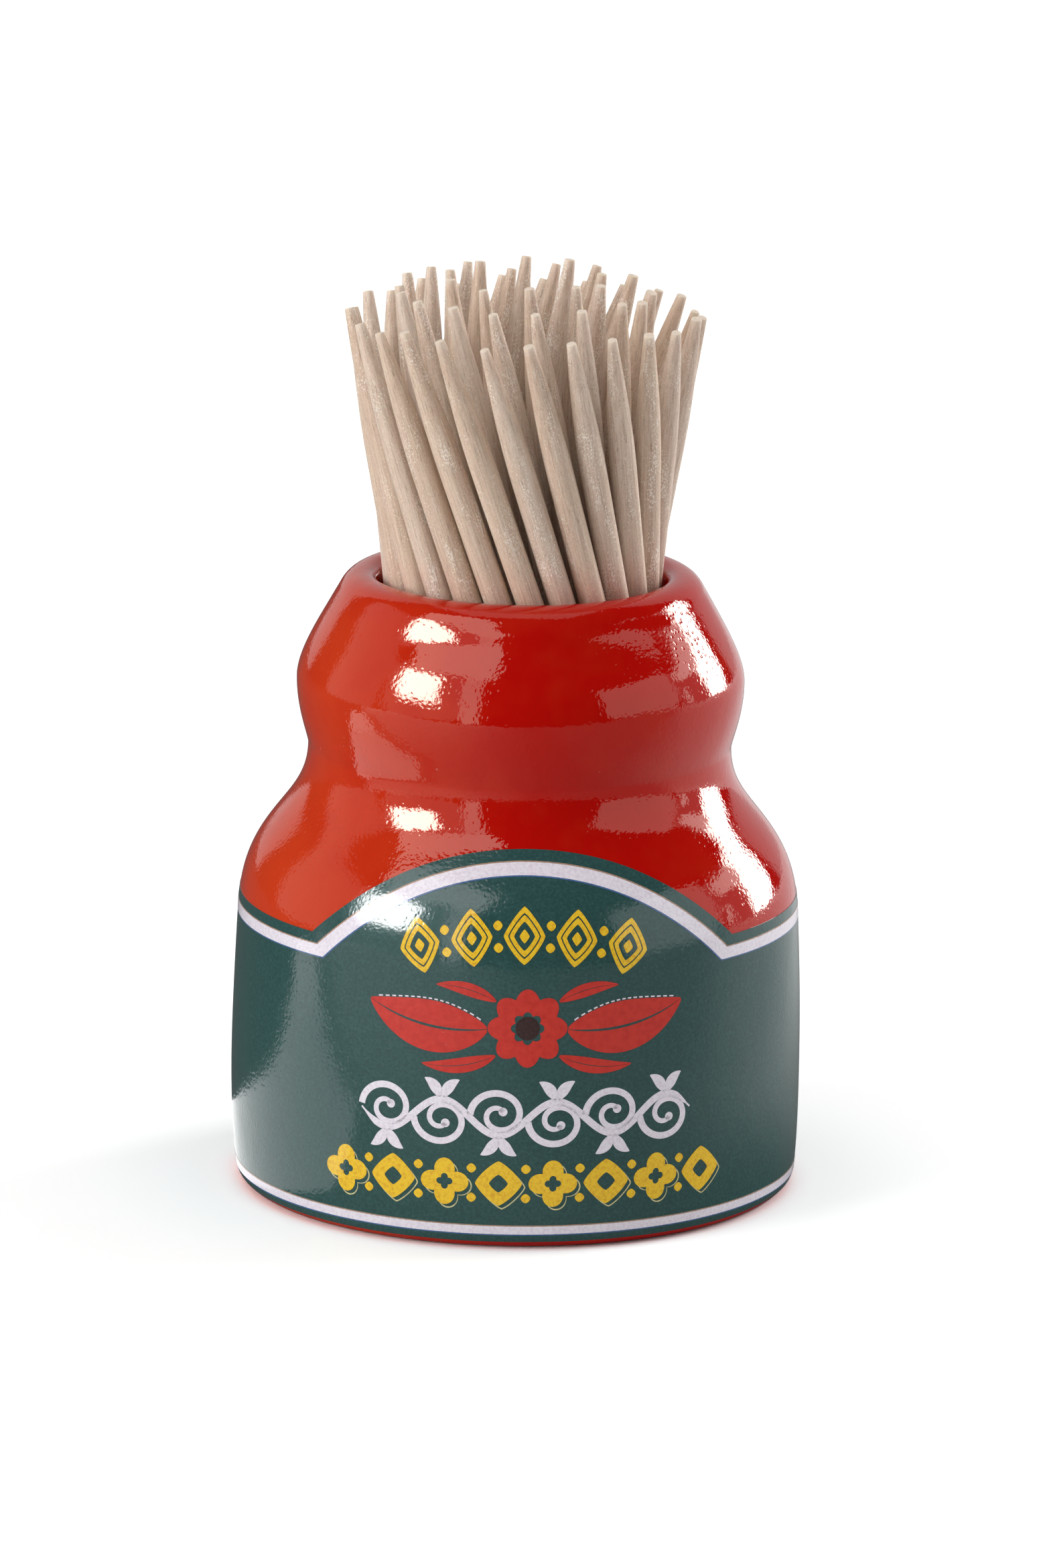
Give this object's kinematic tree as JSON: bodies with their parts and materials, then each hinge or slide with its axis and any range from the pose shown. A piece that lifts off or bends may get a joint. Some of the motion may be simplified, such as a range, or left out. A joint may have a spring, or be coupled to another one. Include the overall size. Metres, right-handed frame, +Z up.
{
  "type": "toothpick holder",
  "caption": "Small waisted glazed ceramic jar with a printed wrap label, filled with a twisted bundle of round wooden toothpicks that lift out one by one.",
  "frame": {"origin": "centre of the foot, on the table that the jar stands on", "axes": "+Z is up along the axis of the jar, and -Y is the front, where the label has its arch"},
  "size_m": [0.0436, 0.0436, 0.0707],
  "materials": {
    "red_glaze": "gloss",
    "green_print": "gloss",
    "white_print": "gloss",
    "birch": "matte"
  },
  "bodies": {
    "jar": {"jar": "red_glaze", "label_field": "green_print", "label_lines": "white_print"},
    "toothpick_01": {"toothpick_01": "birch"},
    "toothpick_02": {"toothpick_02": "birch"},
    "toothpick_03": {"toothpick_03": "birch"},
    "toothpick_04": {"toothpick_04": "birch"},
    "toothpick_05": {"toothpick_05": "birch"},
    "toothpick_06": {"toothpick_06": "birch"},
    "toothpick_07": {"toothpick_07": "birch"},
    "toothpick_08": {"toothpick_08": "birch"},
    "toothpick_09": {"toothpick_09": "birch"},
    "toothpick_10": {"toothpick_10": "birch"},
    "toothpick_11": {"toothpick_11": "birch"},
    "toothpick_12": {"toothpick_12": "birch"},
    "toothpick_13": {"toothpick_13": "birch"},
    "toothpick_14": {"toothpick_14": "birch"},
    "toothpick_15": {"toothpick_15": "birch"},
    "toothpick_16": {"toothpick_16": "birch"},
    "toothpick_17": {"toothpick_17": "birch"},
    "toothpick_18": {"toothpick_18": "birch"},
    "toothpick_19": {"toothpick_19": "birch"},
    "toothpick_20": {"toothpick_20": "birch"},
    "toothpick_21": {"toothpick_21": "birch"},
    "toothpick_22": {"toothpick_22": "birch"},
    "toothpick_23": {"toothpick_23": "birch"},
    "toothpick_24": {"toothpick_24": "birch"},
    "toothpick_25": {"toothpick_25": "birch"},
    "toothpick_26": {"toothpick_26": "birch"},
    "toothpick_27": {"toothpick_27": "birch"},
    "toothpick_28": {"toothpick_28": "birch"},
    "toothpick_29": {"toothpick_29": "birch"},
    "toothpick_30": {"toothpick_30": "birch"},
    "toothpick_31": {"toothpick_31": "birch"},
    "toothpick_32": {"toothpick_32": "birch"},
    "toothpick_33": {"toothpick_33": "birch"},
    "toothpick_34": {"toothpick_34": "birch"},
    "toothpick_35": {"toothpick_35": "birch"},
    "toothpick_36": {"toothpick_36": "birch"},
    "toothpick_37": {"toothpick_37": "birch"},
    "toothpick_38": {"toothpick_38": "birch"},
    "toothpick_39": {"toothpick_39": "birch"},
    "toothpick_40": {"toothpick_40": "birch"},
    "toothpick_41": {"toothpick_41": "birch"},
    "toothpick_42": {"toothpick_42": "birch"},
    "toothpick_43": {"toothpick_43": "birch"},
    "toothpick_44": {"toothpick_44": "birch"},
    "toothpick_45": {"toothpick_45": "birch"},
    "toothpick_46": {"toothpick_46": "birch"},
    "toothpick_47": {"toothpick_47": "birch"},
    "toothpick_48": {"toothpick_48": "birch"},
    "toothpick_49": {"toothpick_49": "birch"},
    "toothpick_50": {"toothpick_50": "birch"},
    "toothpick_51": {"toothpick_51": "birch"},
    "toothpick_52": {"toothpick_52": "birch"},
    "toothpick_53": {"toothpick_53": "birch"}
  },
  "joints": [
    {"name": "toothpick_01_lift", "type": "slide", "parent": "jar", "child": "toothpick_01", "axis": [-0.3313, -0.0117, 0.9434], "range_m": [0, 0.07]},
    {"name": "toothpick_02_lift", "type": "slide", "parent": "jar", "child": "toothpick_02", "axis": [-0.3218, -0.0995, 0.9416], "range_m": [0, 0.07]},
    {"name": "toothpick_03_lift", "type": "slide", "parent": "jar", "child": "toothpick_03", "axis": [-0.2848, -0.1684, 0.9437], "range_m": [0, 0.07]},
    {"name": "toothpick_04_lift", "type": "slide", "parent": "jar", "child": "toothpick_04", "axis": [-0.2288, -0.24, 0.9434], "range_m": [0, 0.07]},
    {"name": "toothpick_05_lift", "type": "slide", "parent": "jar", "child": "toothpick_05", "axis": [-0.1662, -0.2867, 0.9435], "range_m": [0, 0.07]},
    {"name": "toothpick_06_lift", "type": "slide", "parent": "jar", "child": "toothpick_06", "axis": [-0.0905, -0.3174, 0.9439], "range_m": [0, 0.07]},
    {"name": "toothpick_07_lift", "type": "slide", "parent": "jar", "child": "toothpick_07", "axis": [-0.0057, -0.335, 0.9422], "range_m": [0, 0.07]},
    {"name": "toothpick_08_lift", "type": "slide", "parent": "jar", "child": "toothpick_08", "axis": [0.0765, -0.3279, 0.9416], "range_m": [0, 0.07]},
    {"name": "toothpick_09_lift", "type": "slide", "parent": "jar", "child": "toothpick_09", "axis": [0.1583, -0.2926, 0.943], "range_m": [0, 0.07]},
    {"name": "toothpick_10_lift", "type": "slide", "parent": "jar", "child": "toothpick_10", "axis": [0.2257, -0.2516, 0.9412], "range_m": [0, 0.07]},
    {"name": "toothpick_11_lift", "type": "slide", "parent": "jar", "child": "toothpick_11", "axis": [0.2756, -0.19, 0.9423], "range_m": [0, 0.07]},
    {"name": "toothpick_12_lift", "type": "slide", "parent": "jar", "child": "toothpick_12", "axis": [0.3094, -0.1117, 0.9444], "range_m": [0, 0.07]},
    {"name": "toothpick_13_lift", "type": "slide", "parent": "jar", "child": "toothpick_13", "axis": [0.3325, -0.0321, 0.9426], "range_m": [0, 0.07]},
    {"name": "toothpick_14_lift", "type": "slide", "parent": "jar", "child": "toothpick_14", "axis": [0.3249, 0.0516, 0.9443], "range_m": [0, 0.07]},
    {"name": "toothpick_15_lift", "type": "slide", "parent": "jar", "child": "toothpick_15", "axis": [0.3049, 0.132, 0.9432], "range_m": [0, 0.07]},
    {"name": "toothpick_16_lift", "type": "slide", "parent": "jar", "child": "toothpick_16", "axis": [0.261, 0.2036, 0.9436], "range_m": [0, 0.07]},
    {"name": "toothpick_17_lift", "type": "slide", "parent": "jar", "child": "toothpick_17", "axis": [0.2049, 0.2641, 0.9425], "range_m": [0, 0.07]},
    {"name": "toothpick_18_lift", "type": "slide", "parent": "jar", "child": "toothpick_18", "axis": [0.136, 0.3061, 0.9422], "range_m": [0, 0.07]},
    {"name": "toothpick_19_lift", "type": "slide", "parent": "jar", "child": "toothpick_19", "axis": [0.0509, 0.3258, 0.9441], "range_m": [0, 0.07]},
    {"name": "toothpick_20_lift", "type": "slide", "parent": "jar", "child": "toothpick_20", "axis": [-0.0295, 0.3322, 0.9428], "range_m": [0, 0.07]},
    {"name": "toothpick_21_lift", "type": "slide", "parent": "jar", "child": "toothpick_21", "axis": [-0.1106, 0.3108, 0.944], "range_m": [0, 0.07]},
    {"name": "toothpick_22_lift", "type": "slide", "parent": "jar", "child": "toothpick_22", "axis": [-0.1906, 0.2753, 0.9423], "range_m": [0, 0.07]},
    {"name": "toothpick_23_lift", "type": "slide", "parent": "jar", "child": "toothpick_23", "axis": [-0.2505, 0.2209, 0.9426], "range_m": [0, 0.07]},
    {"name": "toothpick_24_lift", "type": "slide", "parent": "jar", "child": "toothpick_24", "axis": [-0.2962, 0.1546, 0.9425], "range_m": [0, 0.07]},
    {"name": "toothpick_25_lift", "type": "slide", "parent": "jar", "child": "toothpick_25", "axis": [-0.3226, 0.0666, 0.9442], "range_m": [0, 0.07]},
    {"name": "toothpick_26_lift", "type": "slide", "parent": "jar", "child": "toothpick_26", "axis": [-0.2348, -0.0437, 0.9711], "range_m": [0, 0.07]},
    {"name": "toothpick_27_lift", "type": "slide", "parent": "jar", "child": "toothpick_27", "axis": [-0.206, -0.1387, 0.9687], "range_m": [0, 0.07]},
    {"name": "toothpick_28_lift", "type": "slide", "parent": "jar", "child": "toothpick_28", "axis": [-0.1572, -0.192, 0.9687], "range_m": [0, 0.07]},
    {"name": "toothpick_29_lift", "type": "slide", "parent": "jar", "child": "toothpick_29", "axis": [-0.0749, -0.236, 0.9689], "range_m": [0, 0.07]},
    {"name": "toothpick_30_lift", "type": "slide", "parent": "jar", "child": "toothpick_30", "axis": [0.0177, -0.2421, 0.9701], "range_m": [0, 0.07]},
    {"name": "toothpick_31_lift", "type": "slide", "parent": "jar", "child": "toothpick_31", "axis": [0.0873, -0.231, 0.969], "range_m": [0, 0.07]},
    {"name": "toothpick_32_lift", "type": "slide", "parent": "jar", "child": "toothpick_32", "axis": [0.1571, -0.1796, 0.9711], "range_m": [0, 0.07]},
    {"name": "toothpick_33_lift", "type": "slide", "parent": "jar", "child": "toothpick_33", "axis": [0.2225, -0.1198, 0.9676], "range_m": [0, 0.07]},
    {"name": "toothpick_34_lift", "type": "slide", "parent": "jar", "child": "toothpick_34", "axis": [0.2484, -0.0311, 0.9682], "range_m": [0, 0.07]},
    {"name": "toothpick_35_lift", "type": "slide", "parent": "jar", "child": "toothpick_35", "axis": [0.2332, 0.0507, 0.9711], "range_m": [0, 0.07]},
    {"name": "toothpick_36_lift", "type": "slide", "parent": "jar", "child": "toothpick_36", "axis": [0.2026, 0.131, 0.9705], "range_m": [0, 0.07]},
    {"name": "toothpick_37_lift", "type": "slide", "parent": "jar", "child": "toothpick_37", "axis": [0.1477, 0.1865, 0.9713], "range_m": [0, 0.07]},
    {"name": "toothpick_38_lift", "type": "slide", "parent": "jar", "child": "toothpick_38", "axis": [0.0674, 0.2337, 0.97], "range_m": [0, 0.07]},
    {"name": "toothpick_39_lift", "type": "slide", "parent": "jar", "child": "toothpick_39", "axis": [-0.0166, 0.2484, 0.9685], "range_m": [0, 0.07]},
    {"name": "toothpick_40_lift", "type": "slide", "parent": "jar", "child": "toothpick_40", "axis": [-0.094, 0.2286, 0.969], "range_m": [0, 0.07]},
    {"name": "toothpick_41_lift", "type": "slide", "parent": "jar", "child": "toothpick_41", "axis": [-0.1565, 0.1841, 0.9704], "range_m": [0, 0.07]},
    {"name": "toothpick_42_lift", "type": "slide", "parent": "jar", "child": "toothpick_42", "axis": [-0.2136, 0.1218, 0.9693], "range_m": [0, 0.07]},
    {"name": "toothpick_43_lift", "type": "slide", "parent": "jar", "child": "toothpick_43", "axis": [-0.2463, 0.0347, 0.9686], "range_m": [0, 0.07]},
    {"name": "toothpick_44_lift", "type": "slide", "parent": "jar", "child": "toothpick_44", "axis": [-0.1389, -0.0309, 0.9898], "range_m": [0, 0.07]},
    {"name": "toothpick_45_lift", "type": "slide", "parent": "jar", "child": "toothpick_45", "axis": [-0.0923, -0.1122, 0.9894], "range_m": [0, 0.07]},
    {"name": "toothpick_46_lift", "type": "slide", "parent": "jar", "child": "toothpick_46", "axis": [-0.008, -0.1522, 0.9883], "range_m": [0, 0.07]},
    {"name": "toothpick_47_lift", "type": "slide", "parent": "jar", "child": "toothpick_47", "axis": [0.0747, -0.1319, 0.9884], "range_m": [0, 0.07]},
    {"name": "toothpick_48_lift", "type": "slide", "parent": "jar", "child": "toothpick_48", "axis": [0.1415, -0.0598, 0.9881], "range_m": [0, 0.07]},
    {"name": "toothpick_49_lift", "type": "slide", "parent": "jar", "child": "toothpick_49", "axis": [0.1411, 0.0337, 0.9894], "range_m": [0, 0.07]},
    {"name": "toothpick_50_lift", "type": "slide", "parent": "jar", "child": "toothpick_50", "axis": [0.1022, 0.1061, 0.9891], "range_m": [0, 0.07]},
    {"name": "toothpick_51_lift", "type": "slide", "parent": "jar", "child": "toothpick_51", "axis": [0.0181, 0.1504, 0.9885], "range_m": [0, 0.07]},
    {"name": "toothpick_52_lift", "type": "slide", "parent": "jar", "child": "toothpick_52", "axis": [-0.0764, 0.1252, 0.9892], "range_m": [0, 0.07]},
    {"name": "toothpick_53_lift", "type": "slide", "parent": "jar", "child": "toothpick_53", "axis": [-0.1381, 0.0687, 0.988], "range_m": [0, 0.07]}
  ]
}
